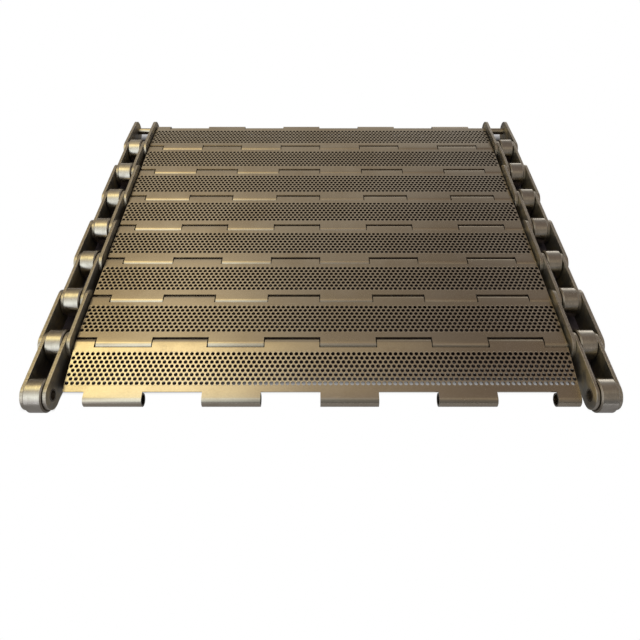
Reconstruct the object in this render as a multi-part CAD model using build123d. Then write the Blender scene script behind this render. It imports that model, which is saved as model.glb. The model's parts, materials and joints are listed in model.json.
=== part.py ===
from build123d import *
import os
from math import asin, cos, degrees, radians, sin, sqrt

# A section of hinged plate conveyor belt: sheet plates with rolled knuckles, strung on
# cross rods that carry a chain with large rollers along each edge.
# X runs across the belt, Y along it to the rear, Z up. All sizes are in millimetres.
# The origin is on the floor under the middle of the section.
# Hinge lines are numbered from 0 at the front, and link n lies between lines n - 1 and n.
# Odd links are inner links with bushings and rollers, even ones outer links with the rods.

# The belt
pitch = 50.8                  # from one hinge line to the next
link_count = 8
plate_width = 429.0
plate_end_gap = 2.0           # between a plate's end and the chain beside it

# Hinge plates
sheet_thickness = 1.5
curl_turn = 310               # degrees that a knuckle is rolled round its rod
knuckle_period = 98.0
knuckle_width = 48.5
first_knuckle_inset = 17.8    # from the plate's left end to its first front knuckle
narrowest_knuckle = 6.0

# Openings in the plates
# The sheet is punched with 3 mm round holes at 4.5 mm. They are drawn as a coarse grid of
# slots that opens the same band of the plate by the same share.
slot_rows = 4
slots_per_row = 12
slot_width = 3.6              # along the belt
slot_bridge = 4.0             # between the slots of a row
slot_end_margin = 1.9         # from the plate's ends to the first and last slots
front_margin = 6.7            # from the front cut edge to the first row
rear_margin = 3.9             # from the last row to the rear cut edge

# Cross rods
rod_diameter = 7.94
head_height = 0.8             # peened head outside the last link plate
head_overhang = 0.7

# Chains
roller_diameter = 28.58
roller_chamfer = 1.0
inner_width = 15.2            # between the two plates of an inner link
link_thickness = 3.0
link_height = 24.1
bushing_wall = 1.5

# Clearances
knuckle_rod_clearance = 0.28  # radial, inside a knuckle
knuckle_edge_clearance = 0.74 # from a knuckle to the next plate's cut edge
knuckle_side_clearance = 1.0  # between the knuckles of two plates
rod_bushing_clearance = 0.08  # radial
bushing_roller_clearance = 0.1
roller_side_clearance = 0.3
link_side_clearance = 0.2     # between an inner and an outer link plate
seat_clearance = 0.02         # radial, where a bushing or rod is pressed into a link plate

# Sizes that follow
rod_radius = rod_diameter / 2
head_radius = rod_radius + head_overhang
knuckle_bore_radius = rod_radius + knuckle_rod_clearance
knuckle_radius = knuckle_bore_radius + sheet_thickness
cut_edge = sqrt((knuckle_radius + knuckle_edge_clearance) ** 2 - knuckle_bore_radius**2)
bushing_bore_radius = rod_radius + rod_bushing_clearance
bushing_radius = bushing_bore_radius + bushing_wall
roller_radius = roller_diameter / 2
roller_bore_radius = bushing_radius + bushing_roller_clearance
roller_width = inner_width - 2 * roller_side_clearance
inner_link_width = inner_width + 2 * link_thickness
outer_link_gap = inner_link_width + 2 * link_side_clearance
outer_link_width = outer_link_gap + 2 * link_thickness
chain_center = plate_width / 2 + plate_end_gap + outer_link_width / 2
belt_face = chain_center + outer_link_width / 2

# How the section lies on the floor
# The front plate hangs from hinge line 1 until its free knuckles touch the floor.
# The last link has no roller at its free end and tips until its plates touch the floor.
axis_height = roller_radius
front_droop = degrees(asin((axis_height - knuckle_radius) / pitch))
rear_droop = degrees(asin((axis_height - link_height / 2) / pitch))
rear_link_reach = pitch * cos(radians(rear_droop)) + link_height / 2
section_length = roller_radius + (link_count - 1) * pitch + rear_link_reach
front_line = roller_radius - section_length / 2


# Places

def on_line(line):
    return Pos(0, front_line + line * pitch, axis_height)


def on_link(link):
    # The place of a link's front hinge line, with the link's slope.
    slope = -rear_droop if link == link_count else 0
    return on_line(link - 1) * Rot(X=slope)


def on_rod(line):
    # The rod at the free rear end follows the slope of the last link.
    return on_link(line) * Pos(0, pitch, 0)


def is_inner(link):
    return link % 2 == 1


# Hinge plates

def front_knuckle_profile():
    # Seen along X: flat sheet from the cut edge, then rolled down round the hinge line.
    outside = CenterArc((0, 0), knuckle_radius, 90, curl_turn)
    inside = CenterArc((0, 0), knuckle_bore_radius, 90, curl_turn)
    lip = Line(outside @ 1, inside @ 1)
    upper = Line((cut_edge, knuckle_radius), outside @ 0)
    lower = Line((cut_edge, knuckle_bore_radius), inside @ 0)
    root = Line(upper @ 0, lower @ 0)
    return make_face([outside, inside, lip, upper, lower, root])


def knuckle_spans():
    # Rear knuckles fill the spaces that the next plate's front knuckles leave.
    left = -plate_width / 2
    right = plate_width / 2
    front = []
    rear = []
    start = left + first_knuckle_inset
    free = left
    while start < right - narrowest_knuckle:
        end = min(start + knuckle_width, right)
        front.append((start, end))
        rear.append((free, start - knuckle_side_clearance))
        free = end + knuckle_side_clearance
        start += knuckle_period
    if free < right - narrowest_knuckle:
        rear.append((free, right))
    return front, rear


def slotted_web():
    # The flat sheet between the cut edges, seen from above, with its rows of slots.
    web = Pos(0, pitch / 2) * Rectangle(plate_width, pitch - 2 * cut_edge)
    row_span = pitch - 2 * cut_edge - front_margin - rear_margin - slot_width
    row_center = pitch / 2 + (front_margin - rear_margin) / 2
    free_width = plate_width - 2 * slot_end_margin - (slots_per_row - 1) * slot_bridge
    slot_length = free_width / slots_per_row
    spacing = (slot_length + slot_bridge, row_span / (slot_rows - 1))
    slots = [
        place * Rectangle(slot_length, slot_width)
        for place in Pos(0, row_center) * GridLocations(*spacing, slots_per_row, slot_rows)
    ]
    return web - slots


def hinge_plate():
    plate = extrude(Pos(0, 0, knuckle_bore_radius) * slotted_web(), sheet_thickness)
    front_profile = front_knuckle_profile()
    rear_profile = Pos(pitch, 0) * mirror(front_profile, about=Plane.YZ)
    front_spans, rear_spans = knuckle_spans()
    for profile, spans in ((front_profile, front_spans), (rear_profile, rear_spans)):
        for start, end in spans:
            plate += extrude(Plane.YZ.offset(start) * profile, end - start)
    return plate


# Cross rods

def cross_rod():
    # Half of the length section, from the middle to the peened head, turned about X.
    tip = belt_face + head_height
    dome_radius = (head_radius**2 + head_height**2) / (2 * head_height)
    dome_turn = degrees(asin(head_radius / dome_radius))
    dome = CenterArc((tip - dome_radius, 0), dome_radius, 0, dome_turn)
    seat = Line(dome @ 1, (belt_face, rod_radius))
    side = Line(seat @ 1, (0, rod_radius))
    middle = Line(side @ 1, (0, 0))
    axis = Line((0, 0), dome @ 0)
    half = revolve(make_face([dome, seat, side, middle, axis]), Axis.X)
    return half + mirror(half, about=Plane.YZ)


# Chains

def link_plate(inner_face, hole_radius):
    # One straight-sided link plate, from its inner face outwards in +X.
    outline = Pos(pitch / 2, 0) * SlotCenterToCenter(pitch, link_height)
    holes = [Pos(y, 0) * Circle(hole_radius) for y in (0, pitch)]
    return extrude(Plane.YZ.offset(inner_face) * (outline - holes), link_thickness)


def link_plate_pair(link):
    # The two plates of a link, about the chain's middle plane.
    if is_inner(link):
        plate = link_plate(inner_width / 2, bushing_radius + seat_clearance)
    else:
        plate = link_plate(outer_link_gap / 2, rod_radius + seat_clearance)
    return [plate, mirror(plate, about=Plane.YZ)]


def tube(length, radius, bore_radius):
    ring = Circle(radius) - Circle(bore_radius)
    return extrude(Plane.YZ.offset(-length / 2) * ring, length)


def bushing_pair():
    bushing = tube(inner_link_width, bushing_radius, bushing_bore_radius)
    return [bushing, Pos(0, pitch, 0) * bushing]


def roller():
    body = tube(roller_width, roller_radius, roller_bore_radius)
    rims = body.edges().filter_by(GeomType.CIRCLE).sort_by(SortBy.RADIUS)[-2:]
    return chamfer(rims, roller_chamfer)


# Assembly

def save(name, pieces):
    solids = [solid for piece in pieces for solid in piece.solids()]
    export_step(Compound(solids), f"parts/{name}.step")


os.makedirs("parts", exist_ok=True)
sheet_plate = hinge_plate()
rod = cross_rod()
bushings = bushing_pair()
carrier_roller = roller()

for link in range(1, link_count + 1):
    place = on_link(link)
    plate_place = place
    if link == 1:
        plate_place = on_line(1) * Rot(X=front_droop) * Pos(0, -pitch, 0)
    save(f"hinge_plate_{link}", [plate_place * sheet_plate])
    save(f"cross_rod_{link}", [on_rod(link) * rod])
    for side, center in (("left", -chain_center), ("right", chain_center)):
        chain_place = place * Pos(center, 0, 0)
        link_plates = [chain_place * plate for plate in link_plate_pair(link)]
        save(f"{side}_link_plates_{link}", link_plates)
        if is_inner(link):
            save(f"{side}_bushings_{link}", [chain_place * piece for piece in bushings])
        roller_line = link - 1
        roller_place = on_line(roller_line) * Pos(center, 0, 0)
        save(f"{side}_roller_{roller_line}", [roller_place * carrier_roller])

print("belt width", round(2 * belt_face + 2 * head_height, 2), "section length", round(section_length, 2))
print("cut edge", round(cut_edge, 3), "droops", round(front_droop, 3), round(rear_droop, 3))
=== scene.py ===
import json
import math

import bmesh
import bpy
from mathutils import Matrix, Vector

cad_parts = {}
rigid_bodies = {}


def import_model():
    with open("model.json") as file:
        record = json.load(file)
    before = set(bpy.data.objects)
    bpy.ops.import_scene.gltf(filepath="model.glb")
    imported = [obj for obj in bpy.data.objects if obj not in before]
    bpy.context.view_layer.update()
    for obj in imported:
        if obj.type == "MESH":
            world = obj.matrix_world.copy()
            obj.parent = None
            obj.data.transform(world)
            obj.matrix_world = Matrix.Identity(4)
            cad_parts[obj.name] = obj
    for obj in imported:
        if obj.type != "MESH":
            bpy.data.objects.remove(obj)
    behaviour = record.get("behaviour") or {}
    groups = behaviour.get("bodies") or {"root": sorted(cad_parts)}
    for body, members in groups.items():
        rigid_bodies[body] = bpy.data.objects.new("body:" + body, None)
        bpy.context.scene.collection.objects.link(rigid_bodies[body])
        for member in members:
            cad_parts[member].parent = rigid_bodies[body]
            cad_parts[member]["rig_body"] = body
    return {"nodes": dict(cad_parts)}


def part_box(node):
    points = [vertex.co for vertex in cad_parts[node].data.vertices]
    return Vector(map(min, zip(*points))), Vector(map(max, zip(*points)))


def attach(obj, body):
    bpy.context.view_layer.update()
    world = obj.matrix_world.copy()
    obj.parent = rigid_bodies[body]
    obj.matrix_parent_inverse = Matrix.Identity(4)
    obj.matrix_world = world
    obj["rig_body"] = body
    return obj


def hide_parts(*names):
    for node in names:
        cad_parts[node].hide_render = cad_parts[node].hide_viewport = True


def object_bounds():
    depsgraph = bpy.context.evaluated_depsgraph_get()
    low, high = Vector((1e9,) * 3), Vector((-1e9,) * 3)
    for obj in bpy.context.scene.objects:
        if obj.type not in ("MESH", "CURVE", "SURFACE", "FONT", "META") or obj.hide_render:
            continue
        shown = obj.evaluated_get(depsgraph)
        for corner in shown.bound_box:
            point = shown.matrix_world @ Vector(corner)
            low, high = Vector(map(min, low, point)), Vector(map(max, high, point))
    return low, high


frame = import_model()
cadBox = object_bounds()
nodes = frame["nodes"]
print("frame loaded with", len(nodes), "nodes")


# small helpers

def addObject(name, data):
    made = bpy.data.objects.new(name, data)
    bpy.context.scene.collection.objects.link(made)
    return made


def bodyOf(nodeName):
    return nodes[nodeName]["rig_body"]


def middle(nodeName):
    low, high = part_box(nodeName)
    return (low + high) / 2


# node trees

def feed(tree, socket, value):  # a value is a socket to link or a plain number, colour or name
    if isinstance(value, bpy.types.NodeSocket):
        tree.links.new(value, socket)
    else:
        socket.default_value = value


def addNode(tree, kind, inputs=None, **settings):
    node = tree.nodes.new(kind)
    for name, value in settings.items():
        setattr(node, name, value)
    for name, value in (inputs or {}).items():
        feed(tree, node.inputs[name], value)
    return node


def calc(tree, operation, *values):
    return addNode(tree, "ShaderNodeMath", dict(enumerate(values)), operation=operation).outputs[0]


def vector(tree, x=0.0, y=0.0, z=0.0):
    return addNode(tree, "ShaderNodeCombineXYZ", {"X": x, "Y": y, "Z": z}).outputs[0]


def split(tree, value):
    return addNode(tree, "ShaderNodeSeparateXYZ", {"Vector": value}).outputs


def clamp(tree, value, low, high):
    return addNode(tree, "ShaderNodeClamp", {"Value": value, "Min": low, "Max": high}).outputs[0]


def addSockets(tree, inputs, outputs):
    kinds = {float: "NodeSocketFloat", int: "NodeSocketInt", Vector: "NodeSocketVector"}
    for name, value in inputs.items():
        socket = tree.interface.new_socket(name, in_out="INPUT", socket_type=kinds[type(value)])
        socket.default_value = value
    for name, kind in outputs.items():
        tree.interface.new_socket(name, in_out="OUTPUT", socket_type=kind)
    return addNode(tree, "NodeGroupInput"), addNode(tree, "NodeGroupOutput")


# where the belt's hinge lines lie, read from the frame

linkCount = 8
hingeLines = [Vector((0, *middle("left_roller_0").yz))]
hingeLines += [Vector((0, *middle(f"cross_rod_{line}").yz)) for line in range(1, linkCount + 1)]


# perforated hinge plates

plateSizes = {
    "Width": 0.429,
    "Pitch": 0.0508,
    "Thickness": 0.0015,
    "Bore Radius": 0.00425,       # inside a rolled knuckle
    "Cut Edge": 0.004905,         # from a hinge line to the edge between the knuckles
    "Roll Angle": math.radians(310),
    "Roll Steps": 32,
    "Knuckles": 5,
    "First Knuckle": 0.0178,      # from the plate's left end
    "Knuckle Width": 0.0485,
    "Knuckle Period": 0.098,
    "Knuckle Gap": 0.001,
    "Hole Radius": 0.0017,
    "Hole Pitch": 0.0045,
    "Hole Rows": 8,
    "Holes per Row": 95,
    "Hole Sides": 12,
    "Row Shift": 0.0007,          # of the whole pattern towards the rear
    "Weld Distance": 1e-5,
    "Crease Angle": math.radians(40),
}


def makePlateTree():
    tree = bpy.data.node_groups.new("perforatedPlate", "GeometryNodeTree")
    groupIn, groupOut = addSockets(tree, plateSizes, {"Geometry": "NodeSocketGeometry"})
    tree.interface.new_socket("Finish", in_out="INPUT", socket_type="NodeSocketMaterial")
    size = groupIn.outputs

    def step(kind, inputs=None, **settings):
        return addNode(tree, "GeometryNode" + kind, inputs, **settings).outputs[0]

    half = calc(tree, "MULTIPLY", size["Width"], 0.5)
    midway = calc(tree, "MULTIPLY", size["Pitch"], 0.5)
    rearEdge = calc(tree, "SUBTRACT", size["Pitch"], size["Cut Edge"])
    position = step("InputPosition")
    at = split(tree, position)

    def join(*parts):
        node = addNode(tree, "GeometryNodeJoinGeometry")
        for part in reversed(parts):
            tree.links.new(part, node.inputs[0])
        return node.outputs[0]

    def merged(part):
        return step("MergeByDistance", {"Geometry": part, "Distance": size["Weld Distance"]})

    def grid(sizeX, sizeY, countX, countY, moved):
        mesh = step("MeshGrid", {"Size X": sizeX, "Size Y": sizeY, "Vertices X": countX, "Vertices Y": countY})
        return step("SetPosition", {"Geometry": mesh, "Offset": moved})

    def row(x, y):  # one point for each knuckle
        return step("MeshLine", {
            "Count": size["Knuckles"], "Start Location": vector(tree, x, y),
            "Offset": vector(tree, size["Knuckle Period"])})

    def trimmed(part):  # nothing past the plate's ends
        x = clamp(tree, at["X"], calc(tree, "MULTIPLY", half, -1.0), half)
        return step("SetPosition", {"Geometry": part, "Position": vector(tree, x, at["Y"], at["Z"])})

    # knuckle spans: the rear ones fill what the front ones leave
    frontStart = calc(tree, "SUBTRACT", size["First Knuckle"], half)
    frontEnd = calc(tree, "ADD", frontStart, size["Knuckle Width"])
    rearEnd = calc(tree, "SUBTRACT", frontStart, size["Knuckle Gap"])
    rearStart = calc(tree, "SUBTRACT", calc(tree, "ADD", frontEnd, size["Knuckle Gap"]), size["Knuckle Period"])
    rearWidth = calc(tree, "SUBTRACT", rearEnd, rearStart)

    # the flat web: its outline with a point at every knuckle's corner, and the holes
    webDepth = calc(tree, "SUBTRACT", rearEdge, size["Cut Edge"])
    corners = grid(size["Width"], webDepth, 2, 2, vector(tree, 0.0, midway))
    edgePoints = trimmed(join(row(frontStart, size["Cut Edge"]), row(frontEnd, size["Cut Edge"]),
                              row(rearStart, rearEdge), row(rearEnd, rearEdge)))
    around = calc(tree, "ARCTAN2", calc(tree, "SUBTRACT", at["Y"], midway), at["X"])
    points = step("MeshToPoints", {"Mesh": merged(join(corners, edgePoints))})
    outline = step("PointsToCurves", {"Points": points, "Weight": around})
    outline = step("SetSplineCyclic", {"Geometry": outline, "Cyclic": True})

    rowPitch = calc(tree, "MULTIPLY", size["Hole Pitch"], math.sqrt(0.75))
    spanX = calc(tree, "MULTIPLY", calc(tree, "SUBTRACT", size["Holes per Row"], 1.0), size["Hole Pitch"])
    spanY = calc(tree, "MULTIPLY", calc(tree, "SUBTRACT", size["Hole Rows"], 1.0), rowPitch)
    rowNumber = calc(tree, "ROUND", calc(tree, "DIVIDE", calc(tree, "ADD", at["Y"], spanY), rowPitch))
    stagger = calc(tree, "MULTIPLY", calc(tree, "SUBTRACT", calc(tree, "MODULO", rowNumber, 2.0), 0.5), 0.5)
    centres = grid(spanX, spanY, size["Holes per Row"], size["Hole Rows"],
                   vector(tree, calc(tree, "MULTIPLY", stagger, size["Hole Pitch"]),
                          calc(tree, "ADD", midway, size["Row Shift"])))
    circle = step("CurvePrimitiveCircle", {
        "Resolution": size["Hole Sides"], "Radius": size["Hole Radius"]}, mode="RADIUS")
    holes = step("RealizeInstances", {
        "Geometry": step("InstanceOnPoints", {"Points": centres, "Instance": circle})})
    web = step("FillCurve", {"Curve": join(outline, holes)})

    # strips that are rolled into knuckles, still flat here
    rollRadius = calc(tree, "ADD", size["Bore Radius"], calc(tree, "MULTIPLY", size["Thickness"], 0.5))
    rollLength = calc(tree, "MULTIPLY", size["Roll Angle"], rollRadius)
    rollCount = calc(tree, "ADD", size["Roll Steps"], 1.0)

    def strips(start, width, flatMiddle, rollMiddle):
        halfWidth = calc(tree, "MULTIPLY", width, 0.5)
        flat = grid(width, size["Cut Edge"], 2, 2, vector(tree, halfWidth, flatMiddle))
        roll = grid(width, rollLength, 2, rollCount, vector(tree, halfWidth, rollMiddle))
        placed = step("InstanceOnPoints", {"Points": row(start, 0.0), "Instance": join(flat, roll)})
        return trimmed(step("RealizeInstances", {"Geometry": placed}))

    halfFlat = calc(tree, "MULTIPLY", size["Cut Edge"], 0.5)
    halfRoll = calc(tree, "MULTIPLY", rollLength, 0.5)
    front = strips(frontStart, size["Knuckle Width"], halfFlat, calc(tree, "MULTIPLY", halfRoll, -1.0))
    rear = strips(rearStart, rearWidth, calc(tree, "SUBTRACT", size["Pitch"], halfFlat),
                  calc(tree, "ADD", size["Pitch"], halfRoll))
    blank = merged(join(web, front, rear))

    # sheet thickness, with the sheared faces marked for the finish
    thick = addNode(tree, "GeometryNodeExtrudeMesh", {
        "Mesh": blank, "Offset": vector(tree, 0.0, 0.0, size["Thickness"]),
        "Offset Scale": 1.0, "Individual": False}, mode="FACES").outputs
    marked = step("StoreNamedAttribute", {
        "Geometry": thick["Mesh"], "Selection": thick["Side"], "Name": "sheared", "Value": 1.0},
        data_type="FLOAT", domain="FACE")
    sheet = merged(join(marked, step("FlipFaces", {"Mesh": blank})))
    placed = step("StoreNamedAttribute", {
        "Geometry": sheet, "Name": "flatPlace", "Value": position}, data_type="FLOAT_VECTOR", domain="POINT")

    # rolling: what lies past a hinge line turns round it
    side = calc(tree, "SIGN", calc(tree, "SUBTRACT", at["Y"], midway))
    flatY = clamp(tree, at["Y"], 0.0, size["Pitch"])
    past = calc(tree, "ABSOLUTE", calc(tree, "SUBTRACT", at["Y"], flatY))
    turn = calc(tree, "DIVIDE", past, rollRadius)
    radius = calc(tree, "ADD", size["Bore Radius"], at["Z"])
    outward = calc(tree, "MULTIPLY", calc(tree, "MULTIPLY", radius, calc(tree, "SINE", turn)), side)
    upward = calc(tree, "MULTIPLY", radius, calc(tree, "COSINE", turn))
    rolled = step("SetPosition", {
        "Geometry": placed, "Position": vector(tree, at["X"], calc(tree, "ADD", flatY, outward), upward)})

    smooth = step("SetShadeSmooth", {"Geometry": rolled, "Shade Smooth": True}, domain="FACE")
    angle = addNode(tree, "GeometryNodeInputMeshEdgeAngle").outputs["Unsigned Angle"]
    creased = step("SetShadeSmooth", {
        "Geometry": smooth, "Selection": calc(tree, "GREATER_THAN", angle, size["Crease Angle"]),
        "Shade Smooth": False}, domain="EDGE")
    whole = step("RealizeInstances", {"Geometry": creased})
    finished = step("SetMaterial", {"Geometry": whole, "Material": size["Finish"]})
    tree.links.new(finished, groupOut.inputs["Geometry"])
    return tree


def platePlace(link):  # a plate hangs between two hinge lines, the front one with its free end on the floor
    rear = hingeLines[link]
    if link == 1:
        knuckleRadius = plateSizes["Bore Radius"] + plateSizes["Thickness"]
        slope = math.asin((rear.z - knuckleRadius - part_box("hinge_plate_1")[0].z) / plateSizes["Pitch"])
    else:
        slope = math.atan2(rear.z - hingeLines[link - 1].z, rear.y - hingeLines[link - 1].y)
    toFront = Matrix.Translation((0, -plateSizes["Pitch"], 0))
    return Matrix.Translation(rear) @ Matrix.Rotation(slope, 4, "X") @ toFront


def makePlates(finish):
    seed = addObject("plateSeed", bpy.data.meshes.new("plateSeed"))
    pattern = seed.modifiers.new("perforatedPlate", "NODES")
    tree = makePlateTree()
    sockets = {item.name: item.identifier for item in tree.interface.items_tree if item.in_out == "INPUT"}
    pattern.node_group = tree
    for name, value in plateSizes.items():
        pattern[sockets[name]] = value
    pattern[sockets["Finish"]] = finish
    evaluated = seed.evaluated_get(bpy.context.evaluated_depsgraph_get())
    meshes = [bpy.data.meshes.new_from_object(evaluated) for _ in range(linkCount)]
    seed.modifiers.remove(pattern)
    bpy.data.objects.remove(seed)
    for link, mesh in enumerate(meshes, start=1):
        mesh.transform(platePlace(link))
        plate = addObject(f"perforatedPlate{link}", mesh)
        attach(plate, bodyOf(f"hinge_plate_{link}"))
        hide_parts(f"hinge_plate_{link}")
    print("plates made,", len(meshes[0].polygons), "faces each")


# shader effects that several finishes share, each a node group built once

effectLook = {
    "grain": {"detail": 4.0, "low": 0.3, "high": 0.7, "roughness": 0.65},
    "blotch": {"detail": 5.0, "low": 0.4, "high": 0.66, "roughness": 0.6, "distortion": 0.4},
    "scratched": {"detail": 2.0, "low": 0.55, "high": 0.7},
    "broken": {"detail": 3.0, "low": 0.3, "high": 0.62, "least": 0.35},
    "uneven": {"detail": 4.0, "low": 0.3, "high": 0.7, "least": 0.75},
    "scratchedScale": (55.0, 75.0, 75.0),
    "scratchDetail": 1.0,
    "scratchRoughness": 0.4,
    "scratchStretch": 0.12,       # scratches run along the belt's width
    "scratchWidth": 0.012,
    "brokenScale": (240.0, 240.0, 240.0),
    "unevenScale": (120.0, 120.0, 120.0),
    "straight": 0.985,            # between a rounded normal and the plain one
    "leaning": 0.86,
    "bevelSamples": 4,
    "openAbove": 0.8,
    "closedBelow": 0.25,
    "openSamples": 6,
}


def fade(tree, value, low, high, toLow=0.0, toHigh=1.0):  # a smooth step from low to high
    return addNode(tree, "ShaderNodeMapRange", {
        "Value": value, "From Min": low, "From Max": high, "To Min": toLow, "To Max": toHigh},
        interpolation_type="SMOOTHSTEP").outputs[0]


def mixColor(tree, factor, first, second):
    return addNode(tree, "ShaderNodeMix", {0: factor, 6: first, 7: second}, data_type="RGBA").outputs[2]


def tint(tree, color, mask, share, second):
    return mixColor(tree, calc(tree, "MULTIPLY", mask, share), color, second)


def scaled(tree, place, factors):
    return addNode(tree, "ShaderNodeVectorMath", {0: place, 1: factors}, operation="MULTIPLY").outputs[0]


def noise(tree, place, detail, roughness=0.55, distortion=0.0):
    return addNode(tree, "ShaderNodeTexNoise", {
        "Vector": place, "Scale": 1.0, "Detail": detail, "Roughness": roughness,
        "Distortion": distortion}).outputs[0]


def patches(tree, place, detail, low, high, least=0.0, **texture):
    return fade(tree, noise(tree, place, detail, **texture), low, high, least)


def openness(tree, distance, samples, **inputs):
    return addNode(tree, "ShaderNodeAmbientOcclusion", {"Distance": distance, **inputs}, samples=samples).outputs["AO"]


def newEffect(name, inputs, *outputs):
    tree = bpy.data.node_groups.new(name, "ShaderNodeTree")
    groupIn, groupOut = addSockets(tree, inputs, {output: "NodeSocketFloat" for output in outputs})
    return tree, groupIn.outputs, groupOut.inputs


def makeGrainEffect():  # rolled, turned or sheared lines, drawn out by unlike counts per metre
    start = {"Place": Vector((0, 0, 0)), "Lines": Vector((100, 100, 100))}
    tree, given, out = newEffect("metalGrain", start, "Grain")
    lines = patches(tree, scaled(tree, given["Place"], given["Lines"]), **effectLook["grain"])
    tree.links.new(lines, out["Grain"])
    return tree


def makeHandlingEffect():  # blotches where oil has dried, and short scratches
    start = {"Place": Vector((0, 0, 0)), "Blotches": 30.0, "Scratches": 260.0}
    tree, given, out = newEffect("handlingMarks", start, "Blotch", "Scratch")
    spread = addNode(tree, "ShaderNodeVectorMath", {
        0: given["Place"], "Scale": given["Blotches"]}, operation="SCALE").outputs[0]
    tree.links.new(patches(tree, spread, **effectLook["blotch"]), out["Blotch"])
    along = calc(tree, "MULTIPLY", given["Scratches"], effectLook["scratchStretch"])
    stretched = scaled(tree, given["Place"], vector(tree, along, given["Scratches"], given["Scratches"]))
    drawn = noise(tree, stretched, effectLook["scratchDetail"], effectLook["scratchRoughness"])
    line = fade(tree, calc(tree, "ABSOLUTE", calc(tree, "SUBTRACT", drawn, 0.5)), effectLook["scratchWidth"], 0.0)
    where = patches(tree, scaled(tree, given["Place"], effectLook["scratchedScale"]), **effectLook["scratched"])
    tree.links.new(calc(tree, "MULTIPLY", line, where), out["Scratch"])
    return tree


def makeEdgeEffect():  # bright worn edges, from how far a rounded normal leans away
    tree, given, out = newEffect("edgeWear", {"Place": Vector((0, 0, 0)), "Reach": 0.0005}, "Wear")
    rounded = addNode(tree, "ShaderNodeBevel", {"Radius": given["Reach"]}, samples=effectLook["bevelSamples"])
    plain = addNode(tree, "ShaderNodeNewGeometry").outputs["Normal"]
    lean = addNode(tree, "ShaderNodeVectorMath", {
        0: rounded.outputs[0], 1: plain}, operation="DOT_PRODUCT").outputs["Value"]
    worn = fade(tree, lean, effectLook["straight"], effectLook["leaning"])
    broken = patches(tree, scaled(tree, given["Place"], effectLook["brokenScale"]), **effectLook["broken"])
    tree.links.new(calc(tree, "MULTIPLY", worn, broken), out["Wear"])
    return tree


def makeCloseShadeEffect():  # painted shade: darker where pieces stand close, found by ambient occlusion and broken into uneven patches
    tree, given, out = newEffect("paintedCloseShade", {"Place": Vector((0, 0, 0)), "Reach": 0.006}, "ShadeAmount")
    isOpen = openness(tree, given["Reach"], effectLook["openSamples"])
    enclosed = fade(tree, isOpen, effectLook["openAbove"], effectLook["closedBelow"])
    uneven = patches(tree, scaled(tree, given["Place"], effectLook["unevenScale"]), **effectLook["uneven"])
    tree.links.new(calc(tree, "MULTIPLY", enclosed, uneven), out["ShadeAmount"])
    return tree


effects = {
    "grain": makeGrainEffect(), "handling": makeHandlingEffect(),
    "edges": makeEdgeEffect(), "paintedShade": makeCloseShadeEffect(),
}


# what all finishes do

def useEffect(tree, name, **inputs):
    return addNode(tree, "ShaderNodeGroup", inputs, node_tree=effects[name]).outputs


def grain(tree, place, lines):
    return useEffect(tree, "grain", Place=place, Lines=lines)["Grain"]


def newFinish(name):
    material = bpy.data.materials.new(name)
    material.use_nodes = True
    tree = material.node_tree
    sockets = tree.nodes["Principled BSDF"].inputs
    sockets["Metallic"].default_value = 1
    place = addNode(tree, "ShaderNodeTexCoord").outputs["Object"]
    return material, tree, sockets, place


def handlingMasks(tree, place, look):  # the marks of use that each finish has, with painted shade where pieces stand close
    marks = useEffect(tree, "handling", Place=place, Blotches=look["blotches"], Scratches=look["scratches"])
    return {
        "blotch": marks["Blotch"],
        "scratch": marks["Scratch"],
        "wear": useEffect(tree, "edges", Place=place, Reach=look["wearReach"])["Wear"],
        "paintedShade": useEffect(tree, "paintedShade", Place=place, Reach=look["shadeReach"])["ShadeAmount"],
    }


def facingSideways(tree, start, full):  # 1 where a surface faces along the belt's width
    normal = addNode(tree, "ShaderNodeTexCoord").outputs["Normal"]
    return fade(tree, calc(tree, "ABSOLUTE", split(tree, normal)["X"]), start, full)


def between(tree, mask, low, high):  # a straight blend, from low where the mask is 0
    return calc(tree, "MULTIPLY_ADD", mask, high - low, low)


def weightedSum(tree, masks, shares, base=0.0):  # base plus each named mask times its share
    for name, share in shares.items():
        base = calc(tree, "MULTIPLY_ADD", masks[name], share, base)
    return base


def dress(tree, sockets, color, rough, height, depth):
    bump = addNode(tree, "ShaderNodeBump", {"Height": height, "Distance": depth, "Strength": 1.0}).outputs[0]
    for name, value in (("Base Color", color), ("Roughness", rough), ("Normal", bump)):
        tree.links.new(value, sockets[name])


# the plates' punched sheet

plateFinish = {
    "steel": (0.62, 0.56, 0.465, 1),
    "worn": (0.50, 0.43, 0.335, 1),
    "sheared": (0.80, 0.75, 0.66, 1),  # the cut edges
    # painted shade inside the punched holes
    "holeWallShade": (0.03, 0.022, 0.016, 1),
    # painted shade colour, for close gaps and the sheet's open ends
    "paintedShade": (0.045, 0.03, 0.018, 1),
    "millLines": (260, 2600, 2600),
    "mottleLines": (620, 620, 620),
    "blotches": 26.0,
    "scratches": 300.0,
    "stains": 11.0,
    "stainStretch": (1.0, 0.55, 1.0),
    "wearReach": 0.0005,
    "shadeReach": 0.004,
    "rimWidth": 0.0003,                # pulled-in sheet round a punched hole
    "bandMargin": 1.3,                 # hole radii that the pattern reaches past its last rows
    "endFacing": (0.6, 0.9),
    "wornShares": {"mottle": 0.25, "blotch": 0.35, "stain": 0.5},
    "brightShares": {"wear": 0.6, "rim": 0.2, "scratch": 0.25},
    "wallShare": 0.95,
    "endShare": 0.85,
    "shadeShare": 0.8,
    "roughness": 0.13,
    "roughShares": {"mottle": 0.04, "blotch": 0.05, "stain": 0.05, "mill": 0.04, "bright": -0.04, "paintedShade": 0.2},
    "heightShares": {"mill": 0.025, "mottle": 0.03, "rim": -0.5, "scratch": -0.15},
    "bumpDepth": 0.00012,
}


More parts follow.
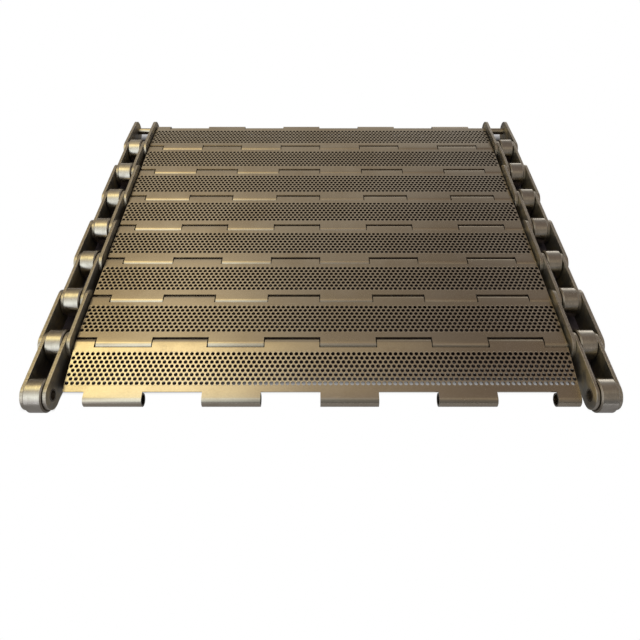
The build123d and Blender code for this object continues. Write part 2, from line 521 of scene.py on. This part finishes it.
def holeRims(tree, flat):  # 1 at the edge of a hole, fading over the rim's width
    pitch = plateSizes["Hole Pitch"]
    holeRadius = plateSizes["Hole Radius"]
    rowPair = pitch * math.sqrt(3)
    centreY = plateSizes["Pitch"] / 2 + plateSizes["Row Shift"]
    at = split(tree, flat)
    away = []
    for quarter in (-0.25, 0.25):  # the pattern is two plain grids, each half a step from the other
        squares = []
        for value, start, step in ((at["X"], pitch * quarter, pitch), (at["Y"], centreY + rowPair * quarter, rowPair)):
            offset = calc(tree, "SUBTRACT", value, start)
            nearest = calc(tree, "SNAP", calc(tree, "ADD", offset, step / 2), step)
            squares.append(calc(tree, "POWER", calc(tree, "SUBTRACT", offset, nearest), 2.0))
        away.append(calc(tree, "SQRT", calc(tree, "ADD", *squares)))
    rim = fade(tree, calc(tree, "MINIMUM", *away), holeRadius + plateFinish["rimWidth"], holeRadius)
    rowsBeside = (plateSizes["Hole Rows"] - 1) / 2
    halfBand = rowsBeside * pitch * math.sqrt(0.75) + holeRadius * plateFinish["bandMargin"]
    fromMiddle = calc(tree, "ABSOLUTE", calc(tree, "SUBTRACT", at["Y"], centreY))
    return calc(tree, "MULTIPLY", rim, calc(tree, "LESS_THAN", fromMiddle, halfBand))


def makePlateFinish():
    look = plateFinish
    material, tree, sockets, place = newFinish("plateSteel")
    flat = addNode(tree, "ShaderNodeAttribute", attribute_name="flatPlace").outputs["Vector"]
    cut = addNode(tree, "ShaderNodeAttribute", attribute_name="sheared").outputs["Fac"]
    masks = handlingMasks(tree, place, look)
    masks["mill"] = grain(tree, flat, look["millLines"])
    masks["mottle"] = grain(tree, place, look["mottleLines"])
    stainPlace = scaled(tree, place, look["stainStretch"])
    masks["stain"] = useEffect(tree, "handling", Place=stainPlace, Blotches=look["stains"])["Blotch"]
    masks["rim"] = holeRims(tree, flat)
    masks["bright"] = calc(tree, "MAXIMUM", cut, weightedSum(tree, masks, look["brightShares"]))
    wall = calc(tree, "MULTIPLY", cut, masks["rim"])
    ends = calc(tree, "MULTIPLY", calc(tree, "SUBTRACT", cut, wall), facingSideways(tree, *look["endFacing"]))
    color = mixColor(tree, weightedSum(tree, masks, look["wornShares"]), look["steel"], look["worn"])
    color = mixColor(tree, masks["bright"], color, look["sheared"])
    # hole walls painted dark as shade
    color = tint(tree, color, wall, look["wallShare"], look["holeWallShade"])
    # the sheared ends that face along the width are painted dark as shade
    color = tint(tree, color, ends, look["endShare"], look["paintedShade"])
    # painted shade where pieces stand close
    color = tint(tree, color, masks["paintedShade"], look["shadeShare"], look["paintedShade"])
    rough = weightedSum(tree, masks, look["roughShares"], look["roughness"])
    height = weightedSum(tree, masks, look["heightShares"])
    dress(tree, sockets, color, rough, height, look["bumpDepth"])
    return material


makePlates(makePlateFinish())


# link plates, stamped from bar, with their edges tumbled round

linkPlateShape = {
    "weld": 1e-6,
    "flatAngle": math.radians(0.5),
    "sharpAngle": math.radians(50),
    "edgeRadius": 0.00045,
    "edgeSteps": 2,
}
linkFinish = {
    "face": (0.31, 0.29, 0.255, 1),
    "stain": (0.47, 0.40, 0.27, 1),
    "rim": (0.60, 0.55, 0.475, 1),
    "worn": (0.85, 0.81, 0.73, 1),
    # painted shade colour for close gaps, also used to darken the face streaks
    "paintedShade": (0.02, 0.016, 0.012, 1),
    "faceFacing": (0.55, 0.9),
    "streakLines": (900, 30, 620),
    "shearLines": (160, 1000, 900),
    "blotches": 60.0,
    "scratches": 320.0,
    "wearReach": 0.0008,
    "shadeReach": 0.006,
    "streakShare": 0.22,
    "shearShare": 0.65,
    "wornShares": {"wear": 0.75, "scratch": 0.25},
    "shadeShare": 0.5,
    "faceRoughness": 0.42,
    "rimRoughness": 0.22,
    "roughShares": {"streak": 0.1, "blotch": 0.1, "wear": -0.1, "paintedShade": 0.2},
    "heightShares": {"rimGrain": 0.4, "streak": 0.12, "blotch": 0.15},
    "bumpDepth": 0.00012,
}


def makeLinkFinish():
    look = linkFinish
    material, tree, sockets, place = newFinish("linkSteel")
    masks = handlingMasks(tree, place, look)
    face = facingSideways(tree, *look["faceFacing"])
    shear = grain(tree, place, look["shearLines"])
    masks["streak"] = grain(tree, place, look["streakLines"])
    masks["rimGrain"] = calc(tree, "MULTIPLY", shear, calc(tree, "SUBTRACT", 1.0, face))
    faceColor = mixColor(tree, masks["blotch"], look["face"], look["stain"])
    # face streaks darken towards the painted shade colour
    faceColor = tint(tree, faceColor, masks["streak"], look["streakShare"], look["paintedShade"])
    rimColor = tint(tree, look["rim"], shear, look["shearShare"], look["face"])
    color = mixColor(tree, face, rimColor, faceColor)
    color = mixColor(tree, weightedSum(tree, masks, look["wornShares"]), color, look["worn"])
    # painted shade where pieces stand close
    color = tint(tree, color, masks["paintedShade"], look["shadeShare"], look["paintedShade"])
    base = between(tree, face, look["rimRoughness"], look["faceRoughness"])
    rough = weightedSum(tree, masks, look["roughShares"], base)
    height = weightedSum(tree, masks, look["heightShares"])
    dress(tree, sockets, color, rough, height, look["bumpDepth"])
    return material


def roundEdges(mesh):
    shape = bmesh.new()
    shape.from_mesh(mesh)
    bmesh.ops.remove_doubles(shape, verts=shape.verts, dist=linkPlateShape["weld"])
    bmesh.ops.dissolve_limit(shape, angle_limit=linkPlateShape["flatAngle"], verts=shape.verts, edges=shape.edges)
    sharp = [edge for edge in shape.edges
             if edge.is_manifold and edge.calc_face_angle() > linkPlateShape["sharpAngle"]]
    bmesh.ops.bevel(shape, geom=sharp, offset=linkPlateShape["edgeRadius"], segments=linkPlateShape["edgeSteps"],
                    profile=0.5, affect="EDGES", clamp_overlap=True, material=-1)
    bmesh.ops.triangulate(shape, faces=[face for face in shape.faces if len(face.verts) > 4])
    shape.to_mesh(mesh)
    shape.free()


def makeLinkPlates(finish):
    names = [name for name in nodes if "_link_plates_" in name]
    for name in names:
        mesh = nodes[name].data.copy()
        roundEdges(mesh)
        mesh.shade_smooth()
        mesh.materials.clear()
        mesh.materials.append(finish)
        piece = addObject(name.replace("_link_plates_", "LinkPlates"), mesh)
        weighted = piece.modifiers.new("weightedNormals", "WEIGHTED_NORMAL")
        weighted.keep_sharp = True
        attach(piece, bodyOf(name))
        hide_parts(name)
    print("link plates rounded:", len(names), "pairs")


makeLinkPlates(makeLinkFinish())


# turned steel: rollers, bushings and cross rods keep their CAD shapes

turnedFinishes = {
    # each side colour is painted shade on the faces that look along the width, darkest on roller and bushing ends
    "rollerSteel": {
        "nodes": "_roller_", "rings": 5200, "shadeReach": 0.007, "roughness": 0.13, "sideRoughness": 0.4,
        "steel": (0.62, 0.59, 0.54, 1), "side": (0.20, 0.165, 0.125, 1), "worn": (0.88, 0.86, 0.80, 1)},
    "bushingSteel": {
        "nodes": "_bushings_", "rings": 4200, "shadeReach": 0.006, "roughness": 0.3, "sideRoughness": 0.36,
        "steel": (0.42, 0.37, 0.31, 1), "side": (0.12, 0.10, 0.08, 1), "worn": (0.8, 0.76, 0.68, 1)},
    "rodSteel": {
        "nodes": "cross_rod_", "rings": 3600, "shadeReach": 0.005, "roughness": 0.18, "sideRoughness": 0.26,
        "steel": (0.60, 0.55, 0.46, 1), "side": (0.5, 0.45, 0.37, 1), "worn": (0.86, 0.82, 0.74, 1)},
}
turnedMarks = {  # the same on all turned pieces
    # painted shade colour for close gaps
    "paintedShade": (0.025, 0.018, 0.012, 1),
    "sideFacing": (0.4, 0.85),
    "ringBreaks": 55,             # how often a turned line breaks, per metre round it
    "blotches": 85.0,
    "scratches": 420.0,
    "wearReach": 0.0006,
    "sideShares": {"ring": 0.22, "blotch": 0.22},
    "wornShares": {"wear": 0.6, "scratch": 0.35},
    "shadeShare": 0.8,
    "roughShares": {"ring": 0.07, "blotch": 0.08, "scratch": 0.1, "paintedShade": 0.2},
    "heightShares": {"ring": 0.25, "scratch": -0.3, "blotch": 0.2},
    "bumpDepth": 0.00006,
}


def makeTurnedFinish(name, look):
    material, tree, sockets, place = newFinish(name)
    masks = handlingMasks(tree, place, look)
    masks["ring"] = grain(tree, place, (look["rings"], look["ringBreaks"], look["ringBreaks"]))
    side = facingSideways(tree, *look["sideFacing"])
    # faces that look along the width take the side colour as painted shade
    color = mixColor(tree, side, look["steel"], look["side"])
    color = mixColor(tree, weightedSum(tree, masks, look["sideShares"]), color, look["side"])
    color = mixColor(tree, weightedSum(tree, masks, look["wornShares"]), color, look["worn"])
    # painted shade where pieces stand close
    color = tint(tree, color, masks["paintedShade"], look["shadeShare"], look["paintedShade"])
    base = between(tree, side, look["roughness"], look["sideRoughness"])
    rough = weightedSum(tree, masks, look["roughShares"], base)
    height = weightedSum(tree, masks, look["heightShares"])
    dress(tree, sockets, color, rough, height, look["bumpDepth"])
    return material


for name, look in turnedFinishes.items():
    finish = makeTurnedFinish(name, {**turnedMarks, **look})
    for nodeName in [each for each in nodes if look["nodes"] in each]:
        for slot in nodes[nodeName].material_slots:
            slot.material = finish
print("finishes made")


# camera, as the photograph was taken

cameraView = {
    "place": (-0.0011, -0.43615, 0.3933),
    "tilt": 48.43,                # degrees below level
    "sensor": 36,
    "lens": 30.133,
    "shiftX": 0.0002,
    "shiftY": -0.0282,
    "clipStart": 0.01,
}


def placeCamera():
    data = bpy.data.cameras.new("camera")
    data.sensor_width = cameraView["sensor"]
    data.lens = cameraView["lens"]
    data.shift_x = cameraView["shiftX"]
    data.shift_y = cameraView["shiftY"]
    data.clip_start = cameraView["clipStart"]
    camera = addObject("camera", data)
    camera.location = cameraView["place"]
    camera.rotation_euler = (math.radians(90 - cameraView["tilt"]), 0, 0)
    bpy.context.scene.camera = camera


placeCamera()


# white floor, dark only in the belt's own shade

floorLook = {
    "halfWidth": 4.0,
    "shade": (0.085, 0.07, 0.078, 1),
    "pale": (0.8, 0.79, 0.77, 1),    # what the belt's underside sees
    "reach": 0.12,                   # how far away a piece still shades the floor
    "samples": 12,
    "lean": -0.6,                    # the shade falls to the rear, as under a light from the front
    "clearAbove": 0.98,              # openness at which there is no shade
    "darkBelow": 0.82,               # openness at which the shade is full
    "coverReach": 0.04,              # only pieces this close over the floor count, none sunk below it
    "coverSamples": 6,
    "covered": 0.9,                  # openness at which a piece above counts in full
    "platesTo": 0.005,               # past the plates' ends, where the chains' own limits begin
    "chainsFrom": 0.008,
    "frontInset": 0.0225,            # light reaches the floor under the front plate
    "frontSoftness": 0.018,
    "leftEnd": -0.17,
    "leftSoftness": 0.0095,          # and less of it on the left
    "chainInset": 0.006,
    "rearReach": 0.014,
    "softness": 0.007,
    "chainRear": 0.016,              # some light reaches the floor between the last link plates
    "chainSoftness": 0.034,
    "sideReach": 0.008,
    "mirroredShade": 0.75,           # the steel mirrors a darker floor close by
    "mirroredReach": 0.9,
}


def newStageMaterial(name):
    material = bpy.data.materials.new(name)
    material.use_nodes = True
    tree = material.node_tree
    tree.nodes.remove(tree.nodes["Principled BSDF"])
    at = split(tree, addNode(tree, "ShaderNodeNewGeometry").outputs["Position"])
    return material, tree, at, tree.nodes["Material Output"].inputs["Surface"]


def emission(tree, color):
    return addNode(tree, "ShaderNodeEmission", {"Color": color, "Strength": 1.0}).outputs[0]


def diffuse(tree, color):
    return addNode(tree, "ShaderNodeBsdfDiffuse", {"Color": color}).outputs[0]


def mixShader(tree, factor, first, second):
    return addNode(tree, "ShaderNodeMixShader", {0: factor, 1: first, 2: second}).outputs[0]


def beltShade(tree, at):  # 1 in the belt's shade, held within soft limits round the belt
    look = floorLook
    low, high = cadBox
    leaning = vector(tree, 0.0, look["lean"], math.sqrt(1 - look["lean"] ** 2))
    isOpen = openness(tree, look["reach"], look["samples"], Normal=leaning)
    isClear = openness(tree, look["coverReach"], look["coverSamples"])
    shade = calc(tree, "MULTIPLY", fade(tree, isOpen, look["clearAbove"], look["darkBelow"]),
                 fade(tree, isClear, 1.0, look["covered"]))
    sideways = calc(tree, "ABSOLUTE", at["X"])
    halfPlate = plateSizes["Width"] / 2
    byPlates = fade(tree, sideways, halfPlate + look["chainsFrom"], halfPlate + look["platesTo"])

    def either(ofChains, ofPlates):
        return fade(tree, byPlates, 0.0, 1.0, ofChains, ofPlates)

    front = either(low[1] + look["chainInset"], low[1] + look["frontInset"])
    frontSoft = fade(tree, at["X"], look["leftEnd"], 0.0, look["leftSoftness"], look["frontSoftness"])
    rear = either(high[1] + look["chainRear"], high[1] + look["rearReach"])
    rearSoft = either(look["chainSoftness"], look["softness"])
    side = high[0] + look["sideReach"]
    for value, start, end in ((at["Y"], front, calc(tree, "ADD", front, frontSoft)),
                              (at["Y"], rear, calc(tree, "SUBTRACT", rear, rearSoft)),
                              (sideways, side, side - look["softness"])):
        shade = calc(tree, "MULTIPLY", shade, fade(tree, value, start, end))
    return shade


def mirroredShade(tree, at):  # a wide dark patch round the belt, for glossy rays alone
    low, high = cadBox
    pastFront = calc(tree, "SUBTRACT", low[1], at["Y"])
    pastRear = calc(tree, "SUBTRACT", at["Y"], high[1])
    pastSide = calc(tree, "SUBTRACT", calc(tree, "ABSOLUTE", at["X"]), high[0])
    past = calc(tree, "MAXIMUM", calc(tree, "MAXIMUM", pastFront, pastRear), pastSide)
    return fade(tree, past, floorLook["mirroredReach"], 0.0, 0.0, floorLook["mirroredShade"])


def makeFloorMaterial():
    material, tree, at, surface = newStageMaterial("floorWhite")
    path = addNode(tree, "ShaderNodeLightPath").outputs
    mirrored = calc(tree, "MULTIPLY", mirroredShade(tree, at), path["Is Glossy Ray"])
    under = calc(tree, "MAXIMUM", beltShade(tree, at), mirrored)
    seen = calc(tree, "MAXIMUM", path["Is Camera Ray"], path["Is Glossy Ray"])
    seen = calc(tree, "MAXIMUM", seen, path["Is Transmission Ray"])
    openFloor = mixShader(tree, seen, diffuse(tree, floorLook["pale"]), emission(tree, (1, 1, 1, 1)))
    tree.links.new(mixShader(tree, under, openFloor, diffuse(tree, floorLook["shade"])), surface)
    return material


def makeFloor():
    reach = floorLook["halfWidth"]
    corners = [(-reach, -reach, 0), (reach, -reach, 0), (reach, reach, 0), (-reach, reach, 0)]
    mesh = bpy.data.meshes.new("floor")
    mesh.from_pydata(corners, [], [(0, 1, 2, 3)])
    mesh.materials.append(makeFloorMaterial())
    floor = addObject("floor", mesh)


makeFloor()


# light tent: a cloth arch over the belt, lit warm and white on the left and dim on the right

tentLook = {
    "radius": 1.4,
    "halfLength": 1.7,
    "panels": 36,
    "cloths": [  # where along the belt's width each hangs, and its colours from the rear over the top to the front
        (-1.35, [
            (0.0, (0.1, 0.09, 0.07)), (0.36, (0.12, 0.1, 0.07)), (0.47, (0.6, 0.5, 0.3)),
            (0.6, (0.25, 0.23, 0.2)), (0.74, (1.0, 0.93, 0.8)), (0.84, (1.4, 1.35, 1.2)),
            (1.0, (0.9, 0.85, 0.8))]),
        (-0.95, [
            (0.0, (0.14, 0.12, 0.1)), (0.2, (0.26, 0.21, 0.14)), (0.33, (0.65, 0.52, 0.3)),
            (0.4, (2.1, 1.7, 0.85)), (0.48, (2.1, 1.85, 0.95)), (0.56, (0.75, 0.62, 0.38)),
            (0.64, (0.7, 0.65, 0.56)), (0.78, (1.6, 1.66, 1.6)), (0.95, (1.0, 1.0, 1.05))]),
        (-0.55, [
            (0.0, (0.6, 0.52, 0.4)), (0.12, (0.4, 0.37, 0.32)), (0.3, (0.8, 0.67, 0.46)),
            (0.38, (0.9, 0.76, 0.48)), (0.43, (1.9, 1.56, 0.88)), (0.52, (1.5, 1.4, 1.02)),
            (0.6, (1.6, 1.65, 1.5)), (0.82, (1.1, 1.2, 1.2)), (0.93, (0.35, 0.36, 0.38))]),
        (0.0, [
            (0.0, (0.44, 0.4, 0.34)), (0.35, (0.34, 0.295, 0.24)), (0.43, (0.6, 0.51, 0.36)),
            (0.5, (0.37, 0.31, 0.26)), (0.6, (0.45, 0.43, 0.41)), (0.72, (0.24, 0.24, 0.23)),
            (1.0, (0.17, 0.17, 0.17))]),
        (0.62, [
            (0.0, (1.5, 1.4, 1.25)), (0.06, (0.8, 0.77, 0.72)), (0.13, (0.29, 0.27, 0.25)),
            (0.3, (0.185, 0.155, 0.135)), (0.5, (0.2, 0.16, 0.135)), (0.63, (0.42, 0.35, 0.265)),
            (0.72, (0.23, 0.2, 0.17)), (0.9, (0.16, 0.155, 0.15))]),
        (1.2, [
            (0.0, (1.7, 1.6, 1.45)), (0.1, (1.2, 1.15, 1.05)), (0.2, (0.34, 0.32, 0.3)),
            (0.4, (0.25, 0.2, 0.15)), (0.7, (0.2, 0.18, 0.15)), (0.8, (0.5, 0.43, 0.34)),
            (0.92, (0.2, 0.19, 0.18))]),
    ],
}


def colorRamp(tree, value, stops):
    node = addNode(tree, "ShaderNodeValToRGB", {"Fac": value})
    ramp = node.color_ramp
    while len(ramp.elements) < len(stops):
        ramp.elements.new(0.5)
    for element, (position, color) in zip(ramp.elements, stops):
        element.position = position
        element.color = (*color, 1)
    return node.outputs[0]


def makeTentMaterial():
    material, tree, at, surface = newStageMaterial("tentCloth")
    over = calc(tree, "DIVIDE", calc(tree, "ARCTAN2", at["Z"], at["Y"]), math.pi)  # 0 at the rear, 1 at the front
    hangsAt, cloth = None, None
    for place, colors in tentLook["cloths"]:
        nextCloth = colorRamp(tree, over, colors)
        if cloth is None:
            cloth = nextCloth
        else:
            cloth = mixColor(tree, fade(tree, at["X"], hangsAt, place), cloth, nextCloth)
        hangsAt = place
    tree.links.new(emission(tree, cloth), surface)
    return material


def makeTent():
    panels = tentLook["panels"]
    arch = [math.pi * joint / panels for joint in range(panels + 1)]
    points = [(x, tentLook["radius"] * math.cos(turn), tentLook["radius"] * math.sin(turn))
              for turn in arch for x in (-tentLook["halfLength"], tentLook["halfLength"])]
    mesh = bpy.data.meshes.new("lightTent")
    mesh.from_pydata(points, [], [(2 * i, 2 * i + 1, 2 * i + 3, 2 * i + 2) for i in range(panels)])
    mesh.materials.append(makeTentMaterial())
    tent = addObject("lightTent", mesh)
    tent.visible_camera = False


makeTent()

world = bpy.data.worlds.new("world")
bpy.context.scene.world = world
world.use_nodes = True
background = world.node_tree.nodes["Background"].inputs
background["Color"].default_value = (1, 1, 1, 1)
background["Strength"].default_value = 1
bpy.context.scene.view_settings.view_transform = "Standard"
print("floor, tent and world ready")
